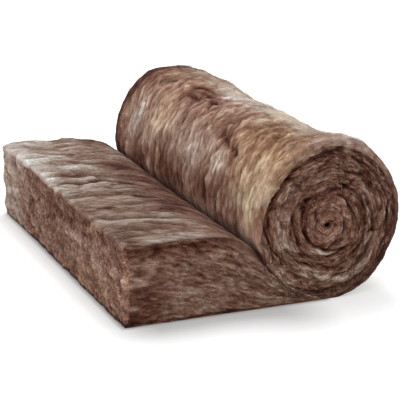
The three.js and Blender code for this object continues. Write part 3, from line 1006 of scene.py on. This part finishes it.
# what is added to each from place to place: the part it is on, how much, and what bounds it there, which is a
# bound or the name of a noise
steps = {
    "tone": [
        ("all", 0.1, "patches"),
        ("all", 0.12, "clumps"),
        ("cut", 0.03, "patches"),
        ("cut", -0.06, "clumps"),
        ("cut", 0.12, "blots"),
        ("side", 0.08, "blots"),
        ("end", -0.05, "clumps"),
        ("top", -0.05, "clumps"),
        ("roll", 0.2, "runs", ("wound", 4.1, 4.5)),
        # the top is palest by the far half of its cut edge, and browner by the roll
        ("top", 0.12, ("x", -0.35, -0.4), ("y", -0.2, 0.1)),
        ("top", -0.2, ("x", -0.28, -0.1)),
        ("top", 0.11, ("x", -0.28, -0.12), ("x", -0.03, -0.06), ("y", -0.15, -0.4)),
        ("top", 0.14, ("y", 0.1, 0.4)),
        ("top", -0.1, ("y", 0.5, 0.56)),
        ("top", -0.04, ("y", -0.25, -0.45)),
        # painted shade on both sides of the nip
        ("top", -0.1, ("x", -0.05, -0.015)),
        ("roll", -0.3, ("wound", 4.98, 5.08)),
        # the cut end is palest at its far end, and browner just under its upper edge
        ("cut", 0.22, ("raggedY", 0.3, 0.44)),
        ("cut", -0.1, ("depth", 0.14, 0.2), ("y", 0.4, 0.25)),
        # the side is darker by the corner and paler under the roll
        ("side", 0.05),
        ("side", 0.1, ("x", -0.1, 0.1)),
        ("side", -0.11, ("x", -0.2, -0.36)),
        # and all round the bottom, painted contact shadow where it meets the floor
        ("cut", -0.5, ("depth", 0.014, 0.003)),
        ("side", -0.5, ("depth", 0.014, 0.003)),
        # painted light over the roll's top, and painted shade down the side that faces away
        ("roll", 0.06, ("wound", 1.9, 2.6), ("wound", 3.9, 3.2)),
        ("roll", -0.12, ("wound", 2.4, 1.5)),
        # it is darker along its far rim, partly its own darker wool and partly painted shade, and more so, as
        # painted shade, along both rims down that side
        ("roll", -0.132, ("y", 0.47, 0.55)),
        ("roll", -0.308, ("y", 0.47, 0.55), ("wound", 2.0, 2.7)),
        ("roll", 0.2, ("y", 0.47, 0.55), ("wound", 3.7, 4.3)),
        ("roll", -0.2, ("y", -0.556, -0.566), ("wound", 2.9, 2.0)),
        # palest where the loose fibres of its crest catch the light
        ("roll", 0.13, ("wound", 2.4, 2.7), ("wound", 3.3, 3.0), ("y", -0.5, -0.4), ("y", 0.3, 0.15)),
        # and by the nip browner at its far end and paler at its near one, where painted light lifts the shade
        ("roll", 0.07, nearNip),
        ("roll", -0.09, nearNip, ("y", -0.3, 0.1)),
        # on the near end, painted shade on the outer turn down the side that faces away
        ("nearEnd", -0.14, ("depth", 0.034, 0.02), ("wound", 0.6, 1.1), ("wound", 2.9, 2.5)),
        # and the outer turns are lit from one side
        ("outerTurns", 0.06, ("sine", -0.3, -0.9)),
        ("outerTurns", -0.11, ("sine", 0.4, 0.9)),
        ("outerTurns", -0.06, ("cosine", -0.4, -0.9)),
        ("lip", 0.36),
    ],
    "russet": [
        # redder by the nip, along with its painted shade
        ("roll", 1.3, nearNip),
        ("roll", 0.5, ("wound", 4.1, 4.45), ("y", -0.4, -0.25)),
        ("roll", 0.7, "hollow"),
        ("top", 0.4, ("x", -0.2, -0.08), ("y", 0.25, 0.05)),
        ("top", 1.0, ("x", -0.05, -0.015)),
        ("cut", -0.8, "blots"),
        ("side", -0.8, "blots"),
        ("end", 0.6, "sunken"),
        ("nearEnd", 1.0, ("wound", 15, 26)),
    ],
    "ash": [
        ("end", -0.49),
        ("end", 0.7, "lift"),
        ("top", 1.0),
        ("top", 0.5, "patches"),
        ("top", -1.0, ("x", -0.2, -0.1), ("y", 0.3, 0.1)),
        ("top", -0.5, "patches", ("x", -0.2, -0.1), ("y", 0.3, 0.1)),
        ("roll", -0.1),
        ("roll", 0.5, "clumps"),
        ("cut", 0.8, ("raggedY", 0.3, 0.44)),
        ("side", 0.6, "blots"),
    ],
    "rollGold": [("roll", -0.4, nearNip)],
    "endGold": [],
    "cutGold": [("cut", -0.5, ("y", -0.2, 0.3))],
    "grain": [
        ("top", -0.5, ("y", 0.1, -0.35)),
        ("top", -0.2, ("x", -0.25, -0.12)),
        ("side", -0.65),
        ("side", 0.2, ("x", -0.3, -0.15)),
    ],
}


def measuresAt(place, zone, lift):
    # everything that the steps name
    travel, y, depth = place.T
    bent = waved(combed(place, zone))
    turned = (travel - lowestTravel) / roll["radius"]
    wound = turned * (1 + roll["pitch"] / (2 * fullTurn * roll["radius"]) * turned)
    patches = woolNoise(place, "patches")
    flakes = bent * [1, 0.5, 1]
    blots = woolNoise(flakes, "blots")
    at = {part: on * 1.0 for part, on in partsOf(zone).items()}
    at.update(
        x=travel + blanket["cutEnd"],
        y=y,
        raggedY=y + 0.06 * blots,
        depth=depth,
        wound=wound,
        sine=np.sin(wound),
        cosine=np.cos(wound),
        lift=lift,
        patches=patches,
        clumps=woolNoise(bent, "clumps"),
        blots=blots,
        runs=woolNoise(bent, "runs"),
        # hollow mixes blotches in the wool's colour with the painted shade of its relief, and sunken is that
        # painted shade alone
        hollow=0.5 * np.clip(-patches * 0.9 - 0.3 * lift, 0, 1),
        sunken=np.clip(-lift - 0.2, 0, 1),
        drawn=depth - 0.01 * ramp(wound, 3.6, 3.9) * ramp(wound, 4.45, 4.15),
        all=np.ones(len(place)),
        side=at["end"] * ramp(travel, 0.52, 0.42),
        nearEnd=at["end"] * (y < 0),
    )
    for part, bounds in nearEndParts.items():
        at[part] = added(at, [("nearEnd", 1.0, *bounds)])
    return at


def added(at, rows):
    total = 0
    for part, amount, *bounds in rows:
        share = amount * at[part]
        for bound in bounds:
            share = share * (at[bound] if isinstance(bound, str) else ramp(at[bound[0]], *bound[1:]))
        total = total + share
    return total


def looksAt(place, zone, lift):
    # what the material reads: where the streaks are read from, the painted light and shade of the relief, its
    # tone, the tint that its colour is multiplied by, how strongly its fibres show and how crumpled they are
    dark, gold = marksAt(place, zone)[1:]
    at = measuresAt(place, zone, lift)
    base = {key: np.interp(zone, list(zoneCodes.values()), row) for key, row in shades.items()}
    golden = at["lip"]
    for part, (least, blotchy, most, amount) in yellowing.items():
        yellowed = least + blotchy * woolNoise(place, part + "Gold") + added(at, steps[part + "Gold"])
        if part == "roll":
            yellowed = yellowed + gold
        golden = golden + at[part] * amount * np.clip(yellowed, 0, most)
    mauve = at["hollow"] * (1 - 0.7 * at["roll"] - 0.5 * at["top"]) + np.clip(-gold, 0, 1) * at["top"]
    russet = added(at, steps["russet"]) + np.clip(dark - 0.14 * at["roll"], 0, 1) * (1 + 2 * at["roll"])
    tint = np.stack([base["red"], base["green"], base["blue"]], 1)
    shares = {
        "gold": golden,
        "mauve": mauve,
        "russet": np.clip(russet, 0, 1.4),
        "ash": np.clip(added(at, steps["ash"]), 0, 1),
    }
    for aim, share in shares.items():
        tint = tint * (1 + share[:, None] * (np.array(tints[aim]) - 1))
    return {
        "place": combed(place, zone),
        "lift": lift,
        "tone": base["tone"] - dark + added(at, steps["tone"]),
        "tint": tint,
        "grain": base["grain"] + added(at, steps["grain"]),
        "crumple": base["crumple"],
    }


def makePiece(name, vertices, polygons, material, values):
    mesh = bpy.data.meshes.new(name)
    mesh.from_pydata(vertices.tolist(), [], polygons)
    for key, value in values.items():
        kind, field = ("FLOAT_VECTOR", "vector") if value.ndim == 2 else ("FLOAT", "value")
        layer = mesh.attributes.new(key, kind, "POINT")
        layer.data.foreach_set(field, value.astype(np.float32).ravel())
    mesh.shade_smooth()
    mesh.update()
    mesh.materials.append(material)
    piece = bpy.data.objects.new(name, mesh)
    bpy.context.scene.collection.objects.link(piece)
    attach(piece, "root")
    return piece


def linear(code):
    # an sRGB hex value as a linear colour
    channels = [int(code[i : i + 2], 16) / 255 for i in (1, 3, 5)]
    return [c / 12.92 if c <= 0.04045 else ((c + 0.055) / 1.055) ** 2.4 for c in channels] + [1]


def addNode(tree, kind, inputs=None, **settings):
    # each input is a value, or the node or socket that it is linked to
    node = tree.nodes.new("ShaderNode" + kind)
    for key, value in settings.items():
        setattr(node, key, value)
    for key, value in (inputs or {}).items():
        if isinstance(value, bpy.types.Node):
            value = value.outputs[0]
        if isinstance(value, bpy.types.NodeSocket):
            tree.links.new(value, node.inputs[key])
        else:
            node.inputs[key].default_value = value
    return node


def fromTo(value, reach, levels):
    # the inputs that take a value from one span to another
    return dict(zip(("Value", "From Min", "From Max", "To Min", "To Max"), (value, *reach, *levels)))


def newMaterial(name):
    material = bpy.data.materials.new(name)
    material.use_nodes = True
    material.node_tree.nodes.clear()
    return material


# Brown glass wool, spun and bound with resin: fully matt, with painted shade where it is hollow and painted
# light on the raised strands
woolLook = {
    "stops": [(0.0, "#280e08"), (0.22, "#58342b"), (0.46, "#896757"), (0.7, "#b69d8f"), (1.0, "#efe7df")],
    "shader": {
        "Roughness": 0.92,
        "Specular IOR Level": 0.12,
        "Sheen Weight": 0.03,
        "Sheen Roughness": 0.5,
    },
    # each pattern's length and width in metres, and how fine its detail is
    "patterns": {
        "broad": (0.22, 0.12, 3),  # where the batt is browner or paler
        "tufts": (0.06, 0.02, 3),  # matted tufts
        "strands": (0.055, 0.0036, 3),  # combed strands, 3 to 5 mm across
        "crumples": (0.015, 0.0046, 3),  # the same where the wool is torn or pushed together
        "fibres": (0.02, 0.0024, 2),  # drawn far coarser than a fibre of 6 microns, so that they show
        "cracks": (0.07, 0.011, 2),  # fine creases between the strands, with painted shade in them
    },
    # how much lighter each makes the wool
    "weights": {"lift": 0.2, "broad": 0.3, "tufts": 0.34, "matted": 0.5, "fibres": 0.62, "cracks": -0.1},
    "crackWidth": 0.07,
    "bump": 0.0019,
}


def makeWool():
    material = newMaterial("brown glass wool")
    tree = material.node_tree
    read = {}
    for key in ("place", "tint", "lift", "tone", "grain", "crumple"):
        output = "Vector" if key in ("place", "tint") else "Fac"
        read[key] = addNode(tree, "Attribute", attribute_name=key).outputs[output]
    noises = {}
    for key, (along, across, octaves) in woolLook["patterns"].items():
        scale = (1 / along, 1 / across, 1 / across)
        scaled = addNode(tree, "Mapping", {"Vector": read["place"], "Scale": scale})
        settings = {"Vector": scaled, "Scale": 1.0, "Detail": octaves, "Roughness": 0.6, "Distortion": 0.6}
        noises[key] = addNode(tree, "TexNoise", settings)
    fromCrack = addNode(tree, "Math", {0: noises["cracks"], 1: 0.5}, operation="SUBTRACT")
    fromCrack = addNode(tree, "Math", {0: fromCrack}, operation="ABSOLUTE")
    span = fromTo(fromCrack, (0.0, woolLook["crackWidth"]), (1.0, 0.0))
    cracks = addNode(tree, "MapRange", span, interpolation_type="SMOOTHSTEP")
    kinds = {0: read["crumple"], 2: noises["strands"], 3: noises["crumples"]}
    matted = addNode(tree, "Mix", kinds, data_type="FLOAT")

    def weighted(total, *parts):
        # the total with each part added, times its weight
        for part, weight in parts:
            total = addNode(tree, "Math", {0: part, 1: weight, 2: total}, operation="MULTIPLY_ADD")
        return total

    # each pattern is taken from its own middle, so that it makes the wool no lighter or darker as a whole
    weights = woolLook["weights"]
    fineMiddle = 0.5 * weights["matted"] + 0.5 * weights["fibres"] + 0.2 * weights["cracks"]
    parts = {"matted": matted, "fibres": noises["fibres"], "cracks": cracks}
    fine = weighted(-fineMiddle, *((part, weights[key]) for key, part in parts.items()))
    broadMiddle = 0.5 * weights["broad"] + 0.5 * weights["tufts"]
    shade = addNode(tree, "Math", {0: read["tone"], 1: broadMiddle}, operation="SUBTRACT")
    parts = {"lift": read["lift"], "broad": noises["broad"], "tufts": noises["tufts"]}
    shade = weighted(shade, *((part, weights[key]) for key, part in parts.items()), (fine, read["grain"]))
    colour = addNode(tree, "ValToRGB", {"Fac": shade})
    elements = colour.color_ramp.elements
    for extra in woolLook["stops"][2:]:
        elements.new(extra[0])
    for element, (position, code) in zip(elements, woolLook["stops"]):
        element.position = position
        element.color = linear(code)
    colours = {0: 1.0, 6: colour, 7: read["tint"]}
    tinted = addNode(tree, "Mix", colours, data_type="RGBA", blend_type="MULTIPLY")
    height = weighted(matted, (noises["fibres"], 1.0), (cracks, -0.5))
    bump = addNode(tree, "Bump", {"Height": height, "Strength": 1.0, "Distance": woolLook["bump"]})
    shader = addNode(
        tree, "BsdfPrincipled", {"Base Color": tinted.outputs[2], "Normal": bump, **woolLook["shader"]}
    )
    addNode(tree, "OutputMaterial", {"Surface": shader})
    return material


woolMaterial = makeWool()
blanketPiece = makePiece("wool_body", spots, faces, woolMaterial, looksAt(places, bodyZones, reliefShadings))
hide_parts("wool_blanket")
print("blanket:", sum(len(f) - 2 for f in faces), "triangles")

# strands: tapered wisps of wool that lie on the skin, and hairs that stand off it
ringWalk = np.concatenate([[0], np.cumsum(ringGap)])
alongRing = np.roll(skinSpots, -1, axis=0) - np.roll(skinSpots, 1, axis=0)
skinOut = unit(np.cross(alongRing, np.gradient(skinSpots, axis=1)))
skinShadings = skinShading.reshape(ringCount, rowCount, 1)


def onGrid(grid, ring, row):
    # a value between the skin's points
    ringLow = np.floor(ring).astype(int)
    rowLow = np.clip(np.floor(row).astype(int), 0, rowCount - 2)
    ringPart = (ring - ringLow)[:, None]
    rowPart = (row - rowLow)[:, None]
    ends = []
    for line in (ringLow % ringCount, (ringLow + 1) % ringCount):
        ends.append(grid[line, rowLow] * (1 - rowPart) + grid[line, rowLow + 1] * rowPart)
    return ends[0] * (1 - ringPart) + ends[1] * ringPart


def gridPlace(walk, across):
    # the skin's grid position of a point "walk" round the section and "across" the width
    ring = np.interp(walk, ringWalk, np.arange(ringCount + 1))
    nearest = np.round(ring).astype(int) % ringCount
    reach = flatReach[nearest]
    past = np.clip((np.abs(across) - reach) / ringRound[nearest], 0, 1)
    corner = np.interp(np.degrees(np.arcsin(past)), [0] + cornerAngles[::-1], range(cornerRows + 1))
    inside = cornerRows + (np.clip(across / reach, -1, 1) * 0.5 + 0.5) * acrossCount
    return ring, inside + np.sign(across) * corner


def strandMesh(paths, outs, widths, flatness):
    # closed three-sided spindles, one along each path
    count, steps = paths.shape[:2]
    heading = unit(np.gradient(paths, axis=1))
    sideways = unit(np.cross(heading, outs))
    upwards = np.cross(sideways, heading)
    inner = steps - 2
    fullness = np.sin(np.pi * (np.arange(inner) + 0.8) / (inner + 0.6)) ** 0.7  # it tapers to both tips
    reach = widths[:, None, None] * 0.5 * fullness[None, :, None]
    rings = []
    for corner in range(3):
        angle = 0.5 + corner * fullTurn / 3
        offset = math.cos(angle) * sideways[:, 1:-1] + flatness * math.sin(angle) * upwards[:, 1:-1]
        rings.append(paths[:, 1:-1] + offset * reach)
    rings = np.stack(rings, 2).reshape(count, inner * 3, 3)
    vertices = np.concatenate([paths[:, :1], rings, paths[:, -1:]], 1)
    triangles = []
    last = inner * 3 + 1
    for corner in range(3):
        other = (corner + 1) % 3
        triangles.append((0, 1 + corner, 1 + other))
        triangles.append((last, last - 3 + other, last - 3 + corner))
        for k in range(inner - 1):
            a, b = 1 + k * 3 + corner, 1 + k * 3 + other
            triangles += [(a, a + 3, b + 3), (a, b + 3, b)]
    polygons = np.arange(count)[:, None, None] * (last + 1) + np.array(triangles)
    return vertices.reshape(-1, 3), polygons.reshape(-1, 3)


def makeStrands(name, look, paths, outs, widths, place, zone, lift):
    # each strand takes up the colour of the wool that it lies on, a little lighter or darker
    count, steps = paths.shape[:2]
    vertices, polygons = strandMesh(paths, outs, widths, look["flatness"])
    values = looksAt(place, zone, lift)
    paler = np.repeat(look["paler"] + chance.normal(0, look["toneScatter"], count), steps)
    values["tone"] += paler * values["grain"] ** 2
    values["place"] = values["place"] + np.repeat(chance.normal(0, look["jitter"], (count, 3)), steps, axis=0)
    # one point at each tip and three round the rest
    order = np.concatenate([[0], np.repeat(np.arange(1, steps - 1), 3), [steps - 1]])
    order = (np.arange(count)[:, None] * steps + order).ravel()
    values = {key: value[order] for key, value in values.items()}
    makePiece(name, vertices, polygons.tolist(), woolMaterial, values)
    print(name + ":", len(polygons), "triangles")


def standOff(look, length):
    # how far each step of a strand is above the wool: its middle rides up, and one tip may work loose
    count = len(length)
    rise = chance.uniform(*look["rise"], count)[:, None]
    loose = (chance.uniform(0, 1, count) ** look["looseness"] * length * look["standing"])[:, None]
    tip = np.linspace(0, 1, look["steps"])[None]
    tip = np.where(chance.uniform(size=(count, 1)) < 0.5, tip, 1 - tip)
    return (rise * np.sin(np.pi * (tip * 0.8 + 0.1)) - look["bury"] + loose * tip**2)[..., None]


def skinStrands(name, look, count, zoneSpan, arc=(-360, 720)):
    # zoneSpan is the stretch of the section that they lie on, and arc its part in degrees round the roll
    inZone = (ringZone >= zoneSpan[0]) & (ringZone <= zoneSpan[1]) & (ringGive > 0.3)
    inZone &= (ringTravel > travelAt(arc[0])) & (ringTravel < travelAt(arc[1]))
    inZone = np.flatnonzero(inZone)
    lowWalk, highWalk = ringWalk[inZone[0]], ringWalk[inZone[-1]]
    mostAcross = halfWidth - 0.001
    steps = look["steps"]
    reach = np.linspace(-0.5, 0.5, steps)[None]
    length = chance.uniform(*look["length"], count)
    walk = chance.uniform(lowWalk, highWalk, count)
    walk = np.clip(walk, lowWalk + length * 0.3, highWalk - length * 0.3)
    across = chance.uniform(-1, 1, count) * mostAcross

    def along(walks, values):
        return np.interp(walks, ringWalk, np.append(values, values[0]))

    def placesAt(walks, acrosses):
        return np.stack([along(walks, ringTravel), acrosses, along(walks, ringDepth)], 1)

    zone = along(walk, ringZone)
    leanRun = combed(placesAt(walk - 0.01, across), zone) - combed(placesAt(walk + 0.01, across), zone)
    swirl = look["swirl"] * woolNoise(placesAt(walk, across), "swirl")
    angle = np.arctan(leanRun[:, 1] / 0.02) + look["turn"] + swirl + chance.normal(0, look["scatter"], count)
    angle = angle[:, None]
    ahead = reach * length[:, None]
    sway = chance.normal(0, look["bend"], count)[:, None] * length[:, None] * 4 * reach**2
    walks = walk[:, None] + ahead * np.cos(angle) - sway * np.sin(angle)
    walks = np.clip(walks, lowWalk, highWalk).ravel()
    acrosses = across[:, None] + ahead * np.sin(angle) + sway * np.cos(angle)
    acrosses = np.clip(acrosses, -mostAcross, mostAcross).ravel()
    ring, row = gridPlace(walks, acrosses)
    spots = onGrid(skinSpots, ring, row).reshape(count, steps, 3)
    outs = unit(onGrid(skinOut, ring, row).reshape(count, steps, 3))
    paths = spots + outs * standOff(look, length)
    paths[..., 2] = np.clip(paths[..., 2], blanket["lowest"], blanket["highest"])
    widths = chance.uniform(*look["width"], count)
    reliefShadings = onGrid(skinShadings, ring, row)[:, 0]
    makeStrands(name, look, paths, outs, widths, placesAt(walks, acrosses), np.repeat(zone, steps), reliefShadings)


def endStrands(name, look, count):
    # on the two ends they follow the layers
    steps = look["steps"]
    reach = np.linspace(-0.5, 0.5, steps)[None]
    chosen = chance.randint(0, endCount, count)
    index = np.clip(endPoints[chosen, 0], 0, stationCount - 2)
    share = endPoints[chosen, 1] + chance.uniform(-0.05, 0.05, count)
    side = np.where(chance.uniform(size=count) < 0.5, -1.0, 1.0)
    length = chance.uniform(*look["length"], count)
    here = atStation(index, share)
    gap = np.maximum(np.linalg.norm(atStation(index + 1, share)["point"] - here["point"], axis=1), 0.0006)
    thick = np.maximum(here["out"] + here["in"], 0.01)
    ahead = reach * length[:, None]
    start, end = relief["diving"]
    dives = (here["travel"] > start) & (here["travel"] < end)
    sway = (chance.normal(0, look["scatter"], count) - relief["dive"] * dives)[:, None] * ahead
    sway += chance.normal(0, look["bend"], count)[:, None] * length[:, None] * 4 * reach**2
    indexes = np.clip(index[:, None] + ahead / gap[:, None], 1, stationCount - 2)
    shares = np.clip(share[:, None] + sway / thick[:, None], 0.02, 0.97)
    spots, places, reliefShadings = endSurface(indexes.ravel(), shares.ravel(), np.repeat(side, steps))
    # a strand that would leave the end's face is left out
    fits = insideOutline(spots[:, [0, 2]], edgePoint).reshape(count, steps).all(1)
    kept = np.repeat(fits, steps)
    outs = np.zeros((count, steps, 3))
    outs[..., 1] = side[:, None]
    paths = spots.reshape(count, steps, 3) + outs * standOff(look, length)
    paths[..., 2] = np.maximum(paths[..., 2], blanket["lowest"])
    widths = chance.uniform(*look["width"], count)[fits]
    onEnd = np.full(kept.sum(), zoneCodes["end"])
    makeStrands(name, look, paths[fits], outs[fits], widths, places[kept], onEnd, reliefShadings[kept])


wisps = {
    "length": (0.015, 0.055),
    "width": (0.0007, 0.002),
    "flatness": 0.6,
    "steps": 5,
    "turn": 0.0,  # how far they turn from the blanket's length, in radians
    "scatter": 0.34,  # and how unevenly
    "swirl": 0.45,  # the same, from one patch of wool to the next
    "bend": 0.11,
    "rise": (0.0002, 0.0011),
    "bury": 0.0005,
    "looseness": 6,  # the higher, the fewer work loose
    "standing": 0.06,  # how far the loosest stands off, as a share of its length
    "paler": 0.03,
    "toneScatter": 0.06,
    "jitter": 0.002,  # how far off each reads the material's patterns
}
topWisps = dict(wisps, length=(0.02, 0.075), scatter=0.32, swirl=0.5, bend=0.1, toneScatter=0.05)
cutWisps = dict(wisps, length=(0.01, 0.04), width=(0.0008, 0.0022), turn=1.57, scatter=0.7, bend=0.4)
endWisps = dict(wisps, length=(0.012, 0.042), width=(0.0008, 0.0024), bend=0.16)
endWisps.update(rise=(0.0004, 0.0022), toneScatter=0.09, paler=0.0)
curls = dict(endWisps, length=(0.008, 0.02), width=(0.001, 0.002), scatter=1.0, bend=0.6)
curls.update(paler=0.02, looseness=3)
# the fuzz is drawn paler, and the crest's palest, as painted highlight where loose fibres catch the light
fuzz = dict(wisps, length=(0.015, 0.045), width=(0.0006, 0.001), flatness=1.0, steps=4)
fuzz.update(scatter=0.6, bend=0.15, looseness=1.6, standing=0.2, paler=0.16)
crestFuzz = dict(fuzz, length=(0.03, 0.07), turn=-1.2, scatter=0.4, looseness=0.8, standing=0.26, paler=0.34)
crestStrays = dict(crestFuzz, scatter=0.7, paler=0.25)
# each piece of strands: what they look like, how many there are and where they lie, which is a stretch of the
# section or the two ends, with the part of the roll in degrees round it for those that keep to one
strandPieces = {
    "roll_wisps": (wisps, 8500, "roll"),
    "top_wisps": (topWisps, 2600, "top"),
    "cut_end_wisps": (cutWisps, 6000, "cut"),
    "side_wisps": (endWisps, 11000, "ends"),
    "side_curls": (curls, 6000, "ends"),
    "roll_fuzz": (fuzz, 4500, "roll"),
    "crest_fuzz": (crestFuzz, 2600, "roll", (148, 182)),
    "crest_strays": (crestStrays, 1200, "roll", (165, 206)),
    "top_fuzz": (fuzz, 1200, "cut and top"),
}
zoneSpans = {"roll": (1.9, 2.1), "top": (0.4, 1.1), "cut": (0, 0.2), "cut and top": (0, 1.1)}
chance = np.random.RandomState(77)
for name, (look, count, where, *arc) in strandPieces.items():
    if where == "ends":
        endStrands(name, look, count)
    else:
        skinStrands(name, look, count, zoneSpans[where], *arc)

# the floor and the light
stage = {
    "floorColour": "#d6d6d6",
    "floorReach": 30,
    "floorShown": 0.45,  # added for the camera alone, so that the open floor reads as white
    "clearOf": (0.9, 2.6),  # metres from the object, over which the floor turns fully white
    "footprint": ((-0.11, 0, 0), (0.297, 0.57, 0)),  # the middle and the half sides of where it rests
    "contact": 0.015,  # the width of the painted contact shadow along the footprint
    "shade": ((-0.14, -0.055, 0), (0.18, 0.555, 0)),  # the same for the painted soft shadow in front of it
    "shadeDraw": (1.0, 0.65, 1),  # how much closer the shade draws in sideways and lengthways
    "shadeWidth": 0.15,
    "shadeLeft": 0.24,  # how much of the added light is left in its middle
    "worldStrength": 0.75,
}

# Painted studio floor: matt and pale, so that it takes the soft shadow; where the light added for the camera
# is taken away, it also carries painted shadow along the footprint and in front of it
floorMaterial = newMaterial("pale studio floor")
tree = floorMaterial.node_tree
where = addNode(tree, "TexCoord").outputs["Object"]


def outsideOf(centre, half, scale=(1, 1, 1)):
    # how far the floor there is from an upright box's footprint
    gap = where
    origin = (0, 0, 0)
    for operation, value in (
        ("SUBTRACT", centre),
        ("ABSOLUTE", origin),
        ("SUBTRACT", half),
        ("MAXIMUM", origin),
        ("MULTIPLY", scale),
    ):
        gap = addNode(tree, "VectorMath", {0: gap, 1: value}, operation=operation)
    return addNode(tree, "VectorMath", {0: gap}, operation="LENGTH").outputs["Value"]


fades = [
    (outsideOf((0, 0, 0), (0, 0, 0)), stage["clearOf"], (stage["floorShown"], 1.0), "SMOOTHSTEP"),
    (outsideOf(*stage["footprint"]), (0.0, stage["contact"]), (0.0, 1.0), "LINEAR"),
    (
        outsideOf(*stage["shade"], stage["shadeDraw"]),
        (0.0, stage["shadeWidth"]),
        (stage["shadeLeft"], 1.0),
        "LINEAR",
    ),
]
strength = addNode(tree, "LightPath").outputs["Is Camera Ray"]
for distance, reach, levels, kind in fades:
    fade = addNode(tree, "MapRange", fromTo(distance, reach, levels), interpolation_type=kind)
    strength = addNode(tree, "Math", {0: strength, 1: fade}, operation="MULTIPLY")
glow = addNode(tree, "Emission", {"Color": (1, 1, 1, 1), "Strength": strength})
paint = addNode(tree, "BsdfDiffuse", {"Color": linear(stage["floorColour"])})
addNode(tree, "OutputMaterial", {"Surface": addNode(tree, "AddShader", {0: paint, 1: glow})})

floorMesh = bpy.data.meshes.new("floor")
floorCorners = np.array([(-1, -1, 0), (1, -1, 0), (1, 1, 0), (-1, 1, 0)]) * stage["floorReach"]
floorMesh.from_pydata(floorCorners.tolist(), [], [(0, 1, 2, 3)])
floorMesh.materials.append(floorMaterial)
floorPiece = bpy.data.objects.new("floor", floorMesh)
bpy.context.scene.collection.objects.link(floorPiece)

world = bpy.data.worlds.new("studio")
world.use_nodes = True
tree = world.node_tree
tree.nodes.clear()
path = addNode(tree, "LightPath").outputs["Is Camera Ray"]
soft = addNode(tree, "Background", {"Color": (1, 1, 1, 1), "Strength": stage["worldStrength"]})
shown = addNode(tree, "Background", {"Color": (1, 1, 1, 1), "Strength": 1.0})
mix = addNode(tree, "MixShader", {0: path, 1: soft, 2: shown})
addNode(tree, "OutputWorld", {"Surface": mix})
bpy.context.scene.world = world

lamps = [
    # name, spot, size, watts, and the point it faces
    ("overhead", (0.45, 0.75, 2.85), 1.6, 62, (0.05, 0, 0.2)),
    ("front fill", (-2.6, -2.4, 2.0), 1.6, 20, (0, 0, 0.2)),
]
for name, spot, size, watts, target in lamps:
    lampData = bpy.data.lights.new(name, "AREA")
    lampData.size = size
    lampData.energy = watts
    lamp = bpy.data.objects.new(name, lampData)
    lamp.location = spot
    aim = np.array(target) - spot
    level = math.hypot(aim[0], aim[1])
    lamp.rotation_euler = (math.atan2(level, -aim[2]), 0, math.atan2(aim[1], aim[0]) - math.pi / 2)
    bpy.context.scene.collection.objects.link(lamp)

bpy.context.scene.view_settings.view_transform = "Standard"
print("floor and lights")
